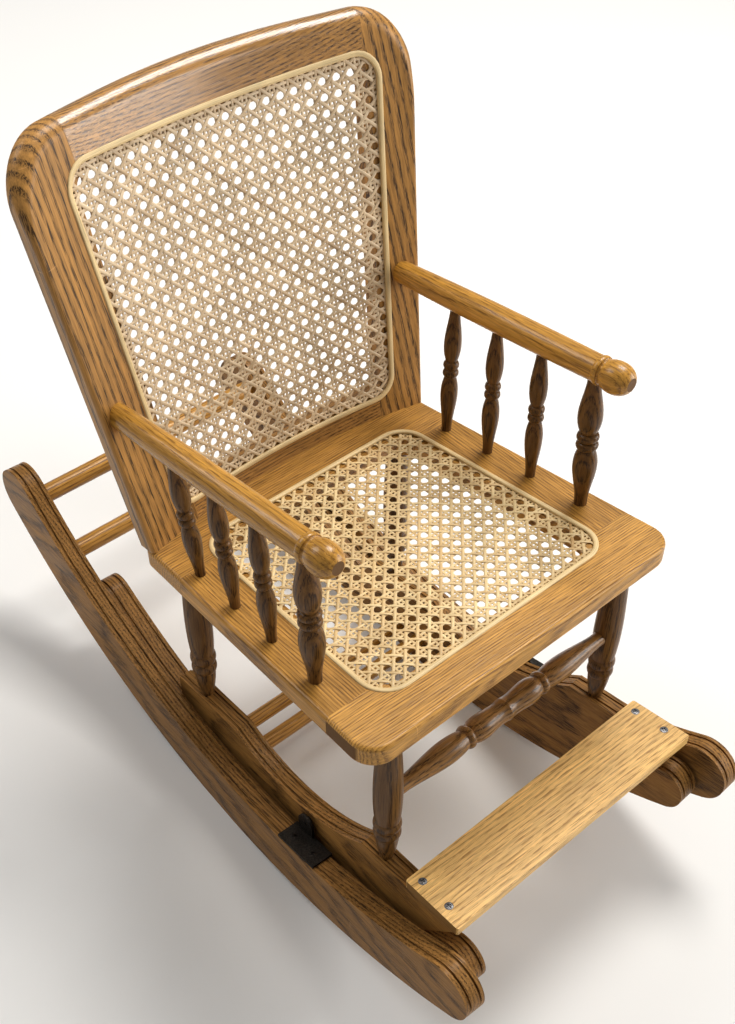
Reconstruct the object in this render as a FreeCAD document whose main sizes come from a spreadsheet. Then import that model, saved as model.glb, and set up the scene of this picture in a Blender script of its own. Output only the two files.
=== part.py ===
import FreeCAD, Part
import math
import os
from FreeCAD import Placement, Rotation, Vector

# Child's rocking chair in oak with a cane seat and back.
# The chair is drawn about the seat: x to the chair's left as seen from behind, y to the back,
# z up from the seat's top face, y = 0 at the front row of cane holes.
# One placement then leans it back onto its rockers and sets the floor at z = 0.

doc = FreeCAD.newDocument("RockingChair")
sheet = doc.addObject("Spreadsheet::Sheet", "Dims")

DIMENSIONS = [
    # stance
    ("seat_lean", 8.9), ("origin_back", 151.33),
    # seat frame
    ("seat_front", -45.0), ("seat_back", 250.0), ("seat_front_half", 173.0), ("seat_back_half", 154.0),
    ("seat_depth", 20.0), ("seat_front_corner", 22.0), ("seat_back_corner", 9.0), ("seat_round", 4.0),
    ("seat_bow", 18.0), ("front_rail_back", 6.0), ("back_rail_front", 196.0),
    # cane set in the seat
    ("cane_front_half", 125.8), ("cane_back_half", 113.8), ("cane_front", -7.5), ("cane_back", 219.0),
    ("cane_corner", 22.0), ("cane_thick", 1.2), ("spline_width", 4.5), ("spline_proud", 1.0),
    ("cane_sunk", 1.3), ("cane_ledge", 6.0), ("cane_openings", 12.0), ("cane_rows", 11.0),
    ("cane_open_share", 0.55),
    # back frame
    ("back_foot", 254.0), ("back_recline", 11.5), ("back_bow_radius", 616.0), ("back_thick", 18.0),
    ("back_height", 333.0), ("back_foot_half", 155.0), ("back_top_half", 186.0), ("back_corner", 44.0),
    ("back_below", 30.0), ("stile_width", 34.8), ("stile_joint", -16.0), ("crest_height", 37.0),
    ("foot_rail_height", 18.0), ("back_round", 3.0), ("back_cane_corner", 18.0),
    ("back_spline_width", 4.5), ("back_cane_shift", 6.0), ("crest_roll", 12.0), ("crest_arch", 1.5),
    ("crest_drop", 7.5), ("crest_arch_radius", 1600.0),
    # arms
    ("arm_half", 150.0), ("arm_front", 11.0), ("arm_front_height", 130.3), ("arm_rise", 2.0),
    ("arm_radius", 10.8), ("arm_knob_radius", 13.0), ("arm_knob_length", 27.0),
    ("arm_groove_radius", 9.6), ("arm_tenon", 9.0),
    # spindles under the arms
    ("spindle_radius", 7.6), ("spindle_end", 4.4), ("post_radius", 10.2), ("post_end", 5.6),
    ("spindle_rake", 6.0), ("spindle_tenon", 9.0), ("spindle_stop", 4.0), ("spindle_half_back", 140.5),
    ("spindle_half_front", 149.5), ("spindle_first", 190.0), ("spindle_step", 48.0),
    ("post_place", 40.0),
    # legs and stretcher
    ("leg_radius", 12.0), ("leg_end", 6.2), ("leg_tenon", 10.0), ("front_leg_place", -22.0),
    ("rear_leg_place", 233.0), ("stretcher_radius", 10.6), ("stretcher_end", 6.4),
    ("stretcher_height", -98.0), ("stretcher_tenon", 6.0),
    # rockers
    ("side_half", 174.0), ("side_front", -150.0), ("side_splay", 2.4), ("rocker_centre", 91.5),
    ("rocker_bottom", -287.6), ("rocker_radius", 574.8), ("outer_rocker_depth", 57.0),
    ("outer_rocker_thick", 20.0), ("outer_front_angle", 26.8), ("outer_back_angle", 49.0),
    ("inner_rocker_depth", 44.0), ("inner_rocker_thick", 22.0), ("inner_front_angle", 23.8),
    ("inner_back_angle", 34.8), ("rocker_gap", 4.0), ("rocker_groove_wide", 2.0),
    ("rocker_groove_deep", 1.6), ("rocker_groove_inset", 3.6), ("rocker_groove_outside", 5.0),
    ("rest_angle", 2.5),
    # rungs, each a share of its rail's depth above the rail's bottom edge
    ("outer_rung_radius", 9.0), ("inner_rung_radius", 7.5), ("rung_tenon", 9.0),
    ("outer_rung_share", 0.77), ("inner_rung_share", 0.68), ("outer_rung_upper", 44.9),
    ("outer_rung_lower", 38.3), ("inner_rung_rear", 13.0), ("inner_rung_front", 10.1),
    # runners
    ("runner_inset", 3.0), ("runner_back", 268.0), ("runner_heel_height", -190.0), ("runner_dip", 96.0),
    ("runner_dip_height", -209.0), ("runner_cusp", 2.0), ("runner_cusp_height", -177.5),
    ("runner_toe", -112.0), ("runner_toe_height", -176.0), ("runner_toe_slant", 36.0),
    ("runner_heel", 180.0),
    # footrest
    ("step_front", -117.0), ("step_back", -56.0), ("step_overhang", 0.4), ("step_corner", 2.0),
    ("step_thick", 9.0), ("step_screw_front", -97.0), ("step_screw_back", -66.0), ("screw_radius", 1.8),
    ("screw_head_radius", 3.8), ("screw_head_depth", 2.2), ("screw_rim", 0.3), ("screw_length", 18.0),
    # pivots of the outer rockers
    ("pivot_place", 70.0), ("pivot_height", -215.0), ("pin_radius", 3.0), ("pin_clearance", 0.05),
    ("pin_seat", 14.0), ("pin_proud", 0.8), ("bracket_thick", 2.4), ("bracket_angle", 2.75),
    ("bracket_middle", -3.5), ("ear_gap", 0.4), ("ear_thick", 2.4), ("ear_radius", 9.5),
    ("bracket_screw_angle", 1.45), ("bracket_screw_radius", 2.4), ("bracket_screw_length", 14.0),
]
for row, (alias, number) in enumerate(DIMENSIONS, start=1):
    sheet.set(f"A{row}", alias)
    sheet.set(f"B{row}", str(number))
    sheet.setAlias(f"B{row}", alias)
doc.recompute()


def dim(alias):
    return float(sheet.get(alias))


def bind(thing, **sizes):
    for prop, formula in sizes.items():
        thing.setExpression(prop, formula)


def rule(text):
    # a formula in the sheet's aliases, as the document's expressions want it
    words = "".join(c if c.isalnum() or c == "_" else " " for c in text).split()
    aliases = {alias for alias, number in DIMENSIONS}
    for word in sorted({w for w in words if w in aliases}, key=len, reverse=True):
        text = text.replace(word, "Dims." + word)
    return text


# Stance: the rockers' arc touches the floor straight below its centre.
lean = dim("seat_lean")
arcHeight = dim("rocker_bottom") + dim("rocker_radius")
arcCentre = Vector(0, dim("rocker_centre"), arcHeight)
turn = Rotation(Vector(1, 0, 0), -lean)
restDepth = dim("rocker_radius") * math.cos(math.radians(dim("rest_angle")))
chair = Placement(Vector(0, -dim("origin_back"), restDepth - turn.multVec(arcCentre).z), turn)

nodes = []


def place(thing, local=None):
    thing.Placement = chair.multiply(local or Placement())
    return thing


def node(thing, label):
    thing.Label = label
    nodes.append(thing)
    return thing


# Bodies, sketches and features
def newBody(name):
    return doc.addObject("PartDesign::Body", name)


def plane(body, role):
    return next(f for f in body.Origin.OriginFeatures if f.Role == role)


def sketchOn(body, role, name, curves, offset=0.0):
    sketch = body.newObject("Sketcher::SketchObject", name)
    sketch.AttachmentSupport = [(plane(body, role), "")]
    sketch.MapMode = "FlatFace"
    sketch.AttachmentOffset = Placement(Vector(0, 0, offset), Rotation())
    sketch.addGeometry(curves, False)
    return sketch


def padOf(body, sketch, formula, midplane=False):
    pad = body.newObject("PartDesign::Pad", sketch.Name + "Pad")
    pad.Profile = sketch
    pad.Midplane = midplane
    bind(pad, Length=rule(formula))
    body.Tip = pad
    return pad


def flat(u, v):
    return Vector(u, v, 0)


def lines(points):
    ends = points[1:] + points[:1]
    return [Part.LineSegment(a, b) for a, b in zip(points, ends)]


def softCorners(points, radii):
    # a closed outline of straight sides, each corner rounded by its own radius
    count = len(points)
    arcs = []
    for i, corner in enumerate(points):
        before = (points[i - 1] - corner).normalize()
        after = (points[(i + 1) % count] - corner).normalize()
        half = before.getAngle(after) / 2
        if not radii[i]:
            arcs.append((corner, None, corner))
            continue
        reach = radii[i] / math.tan(half)
        middle = (before + after).normalize()
        centre = corner + middle * (radii[i] / math.sin(half))
        arcs.append((corner + before * reach, centre - middle * radii[i], corner + after * reach))
    curves = []
    for i, (start, mid, end) in enumerate(arcs):
        if mid:
            curves.append(Part.Arc(start, mid, end))
        curves.append(Part.LineSegment(end, arcs[(i + 1) % count][0]))
    return curves


def turnedBody(name, stretches):
    # stretches of (height, radius): two make a line, three an arc, more a smooth curve
    body = newBody(name)
    curves = []
    for stretch in stretches:
        points = [flat(r, z) for z, r in stretch]
        if len(points) == 2:
            curves.append(Part.LineSegment(*points))
        elif len(points) == 3:
            curves.append(Part.Arc(*points))
        else:
            curve = Part.BSplineCurve()
            curve.interpolate(points)
            curves.append(curve)
    bottom = flat(0, stretches[0][0][0])
    top = flat(0, stretches[-1][-1][0])
    curves.append(Part.LineSegment(flat(stretches[-1][-1][1], top.y), top))
    curves.append(Part.LineSegment(top, bottom))
    curves.append(Part.LineSegment(bottom, flat(stretches[0][0][1], bottom.y)))
    sketch = sketchOn(body, "XZ_Plane", name + "Profile", curves)
    spin = body.newObject("PartDesign::Revolution", name + "Turning")
    spin.Profile = sketch
    spin.ReferenceAxis = (sketch, ["V_Axis"])
    spin.Angle = 360
    body.Tip = spin
    return body


def along(start, end):
    # placement whose z axis runs from one point to the other
    return Placement(start, Rotation(Vector(0, 0, 1), end - start))


def cylinder(name, start, end, formula):
    rod = doc.addObject("Part::Cylinder", name)
    bind(rod, Radius=rule(formula))
    rod.Height = (end - start).Length
    return place(rod, along(start, end))


def cut(name, base, tools):
    result = base
    for i, tool in enumerate(tools):
        step = doc.addObject("Part::Cut", f"{name}Cut{i}")
        step.Base = result
        step.Tool = tool
        result = step
    return result


def common(name, base, tool):
    both = doc.addObject("Part::Common", name)
    both.Base = base
    both.Tool = tool
    return both


def block(name, low, high):
    box = doc.addObject("Part::Box", name)
    size = high - low
    box.Length, box.Width, box.Height = size.x, size.y, size.z
    return place(box, Placement(low, Rotation()))


FAR = 900.0
SIDES = (("left", -1), ("right", 1))

# Points shared by the seat, the arms and the legs
armRise = math.tan(math.radians(dim("arm_rise")))


def armPoint(side, y):
    drop = (y - dim("arm_front")) * armRise
    return Vector(side * dim("arm_half"), y, dim("arm_front_height") - drop)


def spindleFoot(side, y):
    span = dim("spindle_first") - dim("post_place")
    share = (y - dim("post_place")) / span
    half = dim("spindle_half_front") + share * (dim("spindle_half_back") - dim("spindle_half_front"))
    return Vector(side * half, y, 0)


spindlePlaces = [dim("spindle_first") - i * dim("spindle_step") for i in range(3)] + [dim("post_place")]
splay = math.radians(dim("side_splay"))
runnerOuter = dim("outer_rocker_thick") + dim("rocker_gap") + dim("runner_inset")
runnerInner = dim("outer_rocker_thick") + dim("rocker_gap") + dim("inner_rocker_thick")


def sideX(inward, y):
    # distance from the middle of the chair to a plane of the splayed side frames
    return dim("side_half") - inward / math.cos(splay) - (y - dim("side_front")) * math.tan(splay)


def legPlace(side, y):
    return Vector(side * sideX((runnerOuter + runnerInner) / 2, y), y, 0)


# Spindles and posts, tapering to plain ends that sit in the seat and the arm
def spindleStretches(length, widest, end, tenon):
    ring, neck = widest * 0.92, widest * 0.66
    low, high = 0.455 * length, 0.515 * length
    bead = 0.03 * length
    foot, top = 0.025 * length, 0.9 * length
    return [
        [(-tenon, end), (foot, end)],
        [(foot, end), (0.14 * length, end * 1.3), (0.29 * length, widest), (low - bead, neck)],
        [(low - bead, neck), (low, ring), (low + bead, neck)],
        [(high - bead, neck), (high, ring), (high + bead, neck)],
        [(high + bead, neck), (0.68 * length, widest), (0.82 * length, end * 1.3), (top, end)],
        [(top, end), (length - dim("spindle_stop"), end)],
    ]


armHoles = {side: [] for name, side in SIDES}
seatHoles = []
for sideName, side in SIDES:
    for i, y in enumerate(spindlePlaces):
        isPost = i == 3
        label = f"{sideName}_arm_post" if isPost else f"{sideName}_spindle_{i + 1}"
        widest, end = ("post_radius", "post_end") if isPost else ("spindle_radius", "spindle_end")
        foot = spindleFoot(side, y)
        head = armPoint(side, y + dim("spindle_rake"))
        length = (head - foot).Length
        body = turnedBody(label, spindleStretches(length, dim(widest), dim(end), dim("spindle_tenon")))
        node(place(body, along(foot, head)), label)
        axis = (head - foot).normalize()
        tenon, bore = axis * dim("spindle_tenon"), axis * 1.5 * dim("arm_radius")
        seatHoles.append(cylinder(label + "SeatHole", foot - tenon, foot + tenon, end))
        stop = head - axis * dim("spindle_stop")
        armHoles[side].append(cylinder(label + "ArmHole", head - bore, stop, end))

# Arms: round rails, grooved behind a rounded knob, with the back end let into the stile
armBack = dim("back_foot") + dim("back_thick")
armEnds = {}
for sideName, side in SIDES:
    front = armPoint(side, dim("arm_front"))
    rear = armPoint(side, armBack)
    length = (rear - front).Length
    knob = dim("arm_knob_length")
    r, big, groove = dim("arm_radius"), dim("arm_knob_radius"), dim("arm_groove_radius")
    body = turnedBody(f"{sideName}ArmRail", [
        [(0, big * 0.42), (0.1 * knob, big * 0.7), (0.5 * knob, big), (0.88 * knob, big * 0.86)],
        [(0.88 * knob, big * 0.86), (0.94 * knob, groove), (knob, big * 0.86)],
        [(knob, big * 0.86), (1.1 * knob, big * 0.92), (1.2 * knob, r)],
        [(1.2 * knob, r), (0.4 * length, r * 1.04), (0.7 * length, r), (length, dim("arm_tenon"))],
    ])
    place(body, along(front, rear))
    node(cut(f"{sideName}Arm", body, armHoles[side]), f"{sideName}_arm")
    armEnds[side] = body

# Seat frame: four rails sawn from one outline, with the cane let into a shallow ledge
seatFront, seatBack = dim("seat_front"), dim("seat_back")
frontHalf, backHalf = dim("seat_front_half"), dim("seat_back_half")


def seatOutline():
    corner = dim("seat_front_corner")
    pts = [flat(-frontHalf, seatFront), flat(frontHalf, seatFront),
           flat(backHalf, seatBack), flat(-backHalf, seatBack)]
    curves = softCorners(pts, [corner, corner, dim("seat_back_corner"), dim("seat_back_corner")])
    # the back edge bows out behind the bowed back
    last = curves[5]
    curves[5] = Part.Arc(last.StartPoint, flat(0, seatBack + dim("seat_bow")), last.EndPoint)
    return curves


seatBody = newBody("SeatBlank")
seatSketch = sketchOn(seatBody, "XY_Plane", "SeatOutline", seatOutline(), -dim("seat_depth"))
seatPad = padOf(seatBody, seatSketch, "seat_depth")
doc.recompute()
rims = [f"Edge{i}" for i, e in enumerate(seatPad.Shape.Edges, start=1) if e.BoundBox.ZLength < 0.01]
seatFillet = seatBody.newObject("PartDesign::Fillet", "SeatRound")
seatFillet.Base = (seatPad, rims)
bind(seatFillet, Radius=rule("seat_round"))
seatBody.Tip = seatFillet
place(seatBody)


def caneHalf(y):
    # the panel narrows to the back as the seat does
    taper = (dim("cane_back_half") - dim("cane_front_half")) / (dim("cane_back") - dim("cane_front"))
    return dim("cane_front_half") + taper * (y - dim("cane_front"))


def seatRect(grow):
    # outline of the cane panel, grown or shrunk all round
    low, high = dim("cane_front") - grow, dim("cane_back") + grow
    wideLow, wideHigh = caneHalf(low) + grow, caneHalf(high) + grow
    pts = [flat(-wideLow, low), flat(wideLow, low), flat(wideHigh, high), flat(-wideHigh, high)]
    return softCorners(pts, [dim("cane_corner") + grow] * 4)


def seatLayer(name, curves, bottom, formula):
    body = newBody(name)
    sketch = sketchOn(body, "XY_Plane", name + "Outline", curves, bottom)
    padOf(body, sketch, formula)
    return place(body)


spline = dim("spline_width")
ledgeDepth = dim("cane_sunk") + dim("cane_thick")
seatOpening = seatLayer("SeatOpening", seatRect(-dim("cane_ledge")), -2 * dim("seat_depth"), "3 * seat_depth")
seatLedge = seatLayer("SeatLedge", seatRect(spline), -ledgeDepth, "2 * seat_depth")
legHoles = []
for sideName, side in SIDES:
    for y in (dim("front_leg_place"), dim("rear_leg_place")):
        foot = legPlace(side, y)
        under, tenon = Vector(0, 0, -dim("seat_depth")), Vector(0, 0, dim("leg_tenon"))
        low, high = foot + under - tenon, foot + under + tenon
        legHoles.append(cylinder(f"{sideName}LegHole{int(y)}", low, high, "leg_end"))

regions = {
    "seat_front_rail": (Vector(-FAR, -FAR, -FAR), Vector(FAR, dim("front_rail_back"), FAR)),
    "seat_back_rail": (Vector(-FAR, dim("back_rail_front"), -FAR), Vector(FAR, FAR, FAR)),
    "seat_left_rail": (Vector(-FAR, dim("front_rail_back"), -FAR), Vector(0, dim("back_rail_front"), FAR)),
    "seat_right_rail": (Vector(0, dim("front_rail_back"), -FAR), Vector(FAR, dim("back_rail_front"), FAR)),
}
seatFrame = cut("SeatFrame", seatBody, [seatOpening, seatLedge] + legHoles + seatHoles)
for label, (low, high) in regions.items():
    node(common(label, seatFrame, block(label + "Region", low, high)), label)


def openingGrid(low, high, halfAt, shift=0.0):
    # plain openings for the holes of the weave, in rows across a panel whose half width changes
    across, rows, share = int(dim("cane_openings")), int(dim("cane_rows")), dim("cane_open_share")
    curves = []
    for j in range(rows):
        step = (high - low) / rows
        v = low + (j + 0.5) * step
        bottom, top = v - share * step / 2, v + share * step / 2
        for i in range(across):
            left, right = [((i + 0.5 + sign * share / 2) / across) * 2 - 1 for sign in (-1, 1)]
            corners = [(left, bottom), (right, bottom), (right, top), (left, top)]
            curves += lines([flat(edge * halfAt(level) + shift, level) for edge, level in corners])
    return curves


caneEdge = dim("cane_ledge")
caneSheet = seatLayer("SeatCaneSheet", seatRect(spline), -ledgeDepth, "cane_thick")
seatGrid = openingGrid(dim("cane_front") + caneEdge, dim("cane_back") - caneEdge,
                       lambda v: caneHalf(v) - caneEdge)
seatHolesInCane = seatLayer("SeatCaneOpenings", seatGrid, -2 * ledgeDepth, "2 * seat_depth")
node(cut("SeatCane", caneSheet, [seatHolesInCane]), "seat_cane")
splineRing = seatRect(spline) + seatRect(0)
splineBand = seatLayer("seat_spline", splineRing, -dim("cane_sunk"), "cane_sunk + spline_proud")
node(splineBand, "seat_spline")

# Back: a reclined frame bowed in plan, drawn as a flat outline and cut from a curved shell
backLocal = Placement(Vector(0, dim("back_foot"), 0), Rotation(Vector(1, 0, 0), -dim("back_recline")))
bowRadius = dim("back_bow_radius")
footHalf, topHalf, backHeight = dim("back_foot_half"), dim("back_top_half"), dim("back_height")
flare = (topHalf - footHalf) / backHeight
below = -dim("back_below")


def outerHalf(z):
    return footHalf + flare * z


def innerHalf(z):
    return outerHalf(z) - dim("stile_width")


def jointHalf(z):
    # the rails meet the stiles just inside the edge of the opening
    return innerHalf(z) + dim("stile_joint")


def backPanel(name, curves):
    # outline in the plane of the back, padded through its whole bow
    body = newBody(name)
    sketch = sketchOn(body, "XZ_Plane", name + "Outline", curves)
    padOf(body, sketch, "8 * back_thick", midplane=True)
    return place(body, backLocal)


def backShell(name, inner, outer):
    # curved sheet between two depths behind the front face of the back
    shells = []
    for tag, depth in (("Outer", outer), ("Inner", inner)):
        rod = doc.addObject("Part::Cylinder", f"{name}{tag}")
        bind(rod, Radius=rule("back_bow_radius") + f" + {depth}")
        rod.Height = FAR
        low = Placement(Vector(0, -bowRadius, -FAR / 3), Rotation())
        shells.append(place(rod, backLocal.multiply(low)))
    return cut(name, shells[0], shells[1:])


def backRect(grow):
    low = dim("foot_rail_height") - grow
    high = backHeight - dim("crest_height") + grow
    inset = dim("back_spline_width")
    wideLow, wideHigh = innerHalf(low) - inset + grow, innerHalf(high) - inset + grow
    shift = dim("back_cane_shift")
    pts = [flat(shift - wideLow, low), flat(shift + wideLow, low),
           flat(shift + wideHigh, high), flat(shift - wideHigh, high)]
    return softCorners(pts, [dim("back_cane_corner") + grow] * 4)


crestEnd = backHeight - dim("crest_drop")
inBack = chair.multiply(backLocal).inverse()
outline = softCorners(
    [flat(-outerHalf(below), below), flat(outerHalf(below), below), flat(topHalf, crestEnd),
     flat(0, backHeight + dim("crest_arch")), flat(-topHalf, crestEnd)],
    [0, 0, dim("back_corner"), dim("crest_arch_radius"), dim("back_corner")])
backBlank = common("BackBlank", backPanel("BackOutline", outline),
                   backShell("BackShell", 0, dim("back_thick")))
doc.recompute()


def rimRound(vertex, front):
    # wide roll along the crest, run out round its corners to a small round down the stiles
    height = inBack.multVec(vertex.Point).z
    onCrest = height > crestEnd - dim("back_corner") / 2
    return dim("crest_roll") if front and onCrest else dim("back_round")


def frontAndBackRims(shape):
    lowest = shape.BoundBox.ZMin
    rounds = []
    for i, e in enumerate(shape.Edges, start=1):
        if e.Length > 1.4 * dim("back_thick") and e.CenterOfMass.z > lowest + dim("back_below"):
            middle = inBack.multVec(e.CenterOfMass)
            front = math.hypot(middle.x, middle.y + bowRadius) < bowRadius + dim("back_thick") / 2
            rounds.append((i, rimRound(e.lastVertex(), front), rimRound(e.firstVertex(), front)))
    return rounds


backRounded = doc.addObject("Part::Fillet", "BackRounded")
backRounded.Base = backBlank
backRounded.Edges = frontAndBackRims(backBlank.Shape)
seatSpace = block("SeatSpace", Vector(-FAR, -FAR, -FAR), Vector(FAR, FAR, 0))
backOpening = backPanel("BackOpening", backRect(-dim("cane_ledge")))
backLedge = common("BackLedge", backPanel("BackLedgeOutline", backRect(dim("back_spline_width"))),
                   backShell("BackLedgeShell", -dim("back_thick"), ledgeDepth))
backFrame = cut("BackFrame", backRounded, [seatSpace, backOpening, backLedge] + list(armEnds.values()))


def stileRegion(side):
    shift = dim("back_cane_shift")
    low, high = 2 * below, 2 * backHeight
    edge = [flat(shift + side * jointHalf(low), low), flat(shift + side * jointHalf(high), high),
            flat(side * FAR, high), flat(side * FAR, low)]
    return backPanel(f"StileRegion{side + 1}", lines(edge))


def railRegion(name, low, high):
    shift = dim("back_cane_shift")
    edge = [flat(shift - jointHalf(low), low), flat(shift + jointHalf(low), low),
            flat(shift + jointHalf(high), high), flat(shift - jointHalf(high), high)]
    return backPanel(name, lines(edge))


for sideName, side in SIDES:
    label = f"back_{sideName}_stile"
    node(common(label, backFrame, stileRegion(side)), label)
middle = backHeight / 2
railEnds = {"back_crest_rail": (middle, 2 * backHeight), "back_bottom_rail": (2 * below, middle)}
for label, (low, high) in railEnds.items():
    node(common(label, backFrame, railRegion(label + "Region", low, high)), label)

backSheet = common("BackCaneSheet", backPanel("BackCaneOutline", backRect(dim("back_spline_width"))),
                   backShell("BackCaneShell", dim("cane_sunk"), ledgeDepth))
backGrid = openingGrid(dim("foot_rail_height") + caneEdge, backHeight - dim("crest_height") - caneEdge,
                       lambda v: innerHalf(v) - dim("back_spline_width") - caneEdge, dim("back_cane_shift"))
node(cut("BackCane", backSheet, [backPanel("BackCaneOpenings", backGrid)]), "back_cane")
backRing = backRect(dim("back_spline_width")) + backRect(0)
backSpline = common("back_spline", backPanel("BackSplineOutline", backRing),
                    backShell("BackSplineShell", -dim("spline_proud"), dim("cane_sunk")))
node(backSpline, "back_spline")

# Side frames: drawn in a splayed plane on each side, inward from the outer face of the outer rocker
sideShift = -dim("side_front")
arcY, arcZ = dim("rocker_centre") + sideShift, arcHeight


def sidePlacement(side):
    corner = Vector(side * dim("side_half"), dim("side_front"), 0)
    return Placement(corner, Rotation(Vector(0, 0, 1), side * dim("side_splay")))


def sideStart(side, near, far):
    return near if side < 0 else -far


def onArc(radius, degrees):
    a = math.radians(degrees)
    return flat(arcY + radius * math.sin(a), arcZ - radius * math.cos(a))


def rockerOutline(depth, frontAngle, backAngle, grow=0.0, below=0.0):
    # bar between two arcs, rounded at both ends
    low = dim("rocker_radius") + below
    high = dim("rocker_radius") - depth - grow
    span = math.degrees(depth / 2 / (low - depth / 2))
    front, back = -frontAngle + span, backAngle - span
    tip = math.degrees(grow / low)
    mid = (low + high) / 2
    return [
        Part.Arc(onArc(high, front), onArc(high, (front + back) / 2), onArc(high, back)),
        Part.Arc(onArc(high, back), onArc(mid, backAngle + tip), onArc(low, back)),
        Part.Arc(onArc(low, back), onArc(low, (front + back) / 2), onArc(low, front)),
        Part.Arc(onArc(low, front), onArc(mid, -frontAngle - tip), onArc(high, front)),
    ]


def edgeGrooves(body, name, rim, start, thickness):
    # two shallow grooves leave a bead at each edge of a board
    wide, inset = dim("rocker_groove_wide"), dim("rocker_groove_inset")
    for i, offset in enumerate((start + inset, start + thickness - inset - wide)):
        groove = sketchOn(body, "YZ_Plane", f"{name}Groove{i}", rim, offset)
        pocket = body.newObject("PartDesign::Pocket", f"{name}GroovePocket{i}")
        pocket.Profile = groove
        pocket.Reversed = True
        bind(pocket, Length=rule("rocker_groove_wide"))
        body.Tip = pocket


def rocker(name, side, near, thickness, depth, frontAngle, backAngle):
    # a bar grooved along its top and round its ends
    far = near + dim(thickness)
    body = newBody(name)
    start = sideStart(side, near, far)
    bar = (dim(depth), frontAngle, backAngle)
    sketch = sketchOn(body, "YZ_Plane", name + "Outline", rockerOutline(*bar), start)
    padOf(body, sketch, thickness)
    outside = dim("rocker_groove_outside")
    rim = rockerOutline(*bar, outside, 2 * outside) + rockerOutline(*bar, -dim("rocker_groove_deep"), outside)
    edgeGrooves(body, name, rim, start, dim(thickness))
    return place(body, sidePlacement(side))


def sidePoint(inward, y, z, side):
    return Vector(side * sideX(inward, y), y, z)


def rungPoint(radius, degrees, inward, side):
    p = onArc(radius, degrees)
    return sidePoint(inward, p.x - sideShift, p.y, side)


def rung(pair, tag, face):
    # plain rod let into both rails of a pair
    label = f"{pair}_rung_{tag}"
    degrees = dim(label)
    radius = dim("rocker_radius") - dim(f"{pair}_rung_share") * dim(f"{pair}_rocker_depth")
    ends = [rungPoint(radius, degrees, face - dim("rung_tenon"), side) for name, side in SIDES]
    body = newBody(label)
    circle = Part.Circle(flat(0, 0), Vector(0, 0, 1), dim(f"{pair}_rung_radius"))
    sketch = sketchOn(body, "XY_Plane", label + "Round", [circle])
    pad = padOf(body, sketch, "1")
    pad.setExpression("Length", str((ends[1] - ends[0]).Length))
    node(place(body, along(*ends)), label)
    return body


# a short flat under each rocker lets the chair stand where it balances
floorSpace = doc.addObject("Part::Box", "FloorSpace")
floorSpace.Length, floorSpace.Width, floorSpace.Height = 2 * FAR, 2 * FAR, FAR
floorSpace.Placement = Placement(Vector(-FAR, -FAR, -FAR), Rotation())

outerInner = dim("outer_rocker_thick")
innerOuter = outerInner + dim("rocker_gap")
innerInner = innerOuter + dim("inner_rocker_thick")
outerRungs = [rung("outer", tag, outerInner) for tag in ("upper", "lower")]
innerRungs = [rung("inner", tag, innerInner) for tag in ("front", "rear")]

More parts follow.
